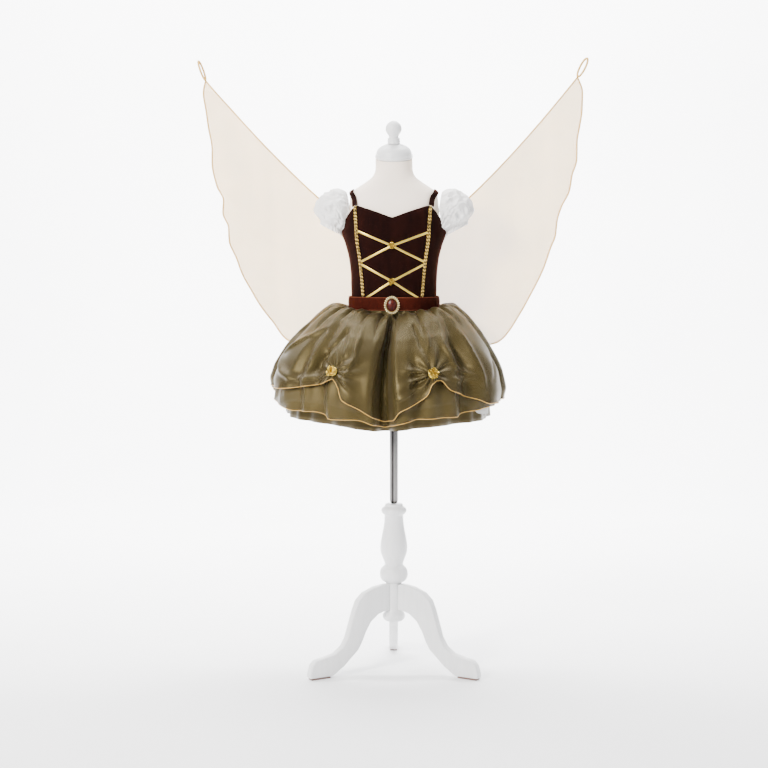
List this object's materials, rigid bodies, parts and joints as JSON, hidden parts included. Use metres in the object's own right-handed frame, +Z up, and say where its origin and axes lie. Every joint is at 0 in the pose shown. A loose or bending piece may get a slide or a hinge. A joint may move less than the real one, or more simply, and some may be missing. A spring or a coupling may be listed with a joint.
{
  "type": "child's fairy costume on a limbless dress form with a tripod stand",
  "caption": "Child's fairy costume: laced velvet bodice with puff sleeves, belted layered skirt and organza wings, worn on a white limbless dress form with a turned tripod stand.",
  "frame": {"origin": "on the floor, under the middle of the stand's pole and of the whole object's plan", "axes": "+Z up, the costume's front looks along -Y, the wearer's left is +X"},
  "size_m": [0.9184, 0.4919, 1.4228],
  "materials": {
    "jersey": "fine cream cotton jersey stretched over the form",
    "paint": "turned wood in white satin paint",
    "chrome": "polished",
    "felt": "red-brown felt pad",
    "brown_velvet": "dark brown velvet with a red-brown sheen",
    "belt_velvet": "red-brown velvet band",
    "gold_braid": "woven gold gimp braid",
    "gold_ribbon": "metallic gold ribbon",
    "gold_beads": "cream-gold cast beads",
    "stone": "faceted red-brown acrylic stone",
    "white_organza": "crisp white organza",
    "cream_organza": "cream crystal organza",
    "olive_organza": "olive satin organza with a soft gloss",
    "sheer_organza": "sheer olive organza with a rolled gold hem",
    "tulle": "white tulle net",
    "olive_satin": "olive satin lining",
    "elastic": "gold elastic cord"
  },
  "bodies": {
    "root": {"stand_column": "paint", "stand_pole": "chrome", "stand_leg_front_right": "paint", "stand_leg_front_left": "paint", "stand_leg_back": "paint", "stand_pad_front_right": "felt", "stand_pad_front_left": "felt", "stand_pad_back": "felt", "torso": "jersey", "neck_cap": "paint", "finial": "paint", "bodice_front": "brown_velvet", "bodice_side_left": "brown_velvet", "bodice_side_right": "brown_velvet", "bodice_back_left": "brown_velvet", "bodice_back_right": "brown_velvet", "strap_left": "brown_velvet", "strap_right": "brown_velvet", "braid_left": "gold_braid", "braid_right": "gold_braid", "lacing_1": "gold_ribbon", "lacing_2": "gold_ribbon", "lacing_3": "gold_ribbon", "lacing_4": "gold_ribbon", "knot_top": "gold_ribbon", "knot_bottom": "gold_ribbon", "overskirt": "olive_organza", "underskirt": "sheer_organza", "petticoat": "tulle", "lining": "olive_satin", "rose_right": "gold_ribbon", "rose_left": "gold_ribbon", "belt": "belt_velvet", "buckle_ring": "gold_beads", "buckle_stone": "stone", "puff_left": "white_organza", "puff_right": "white_organza", "wing_left": "cream_organza", "wing_right": "cream_organza", "finger_loop_left": "elastic", "finger_loop_right": "elastic"}
  },
  "joints": []
}
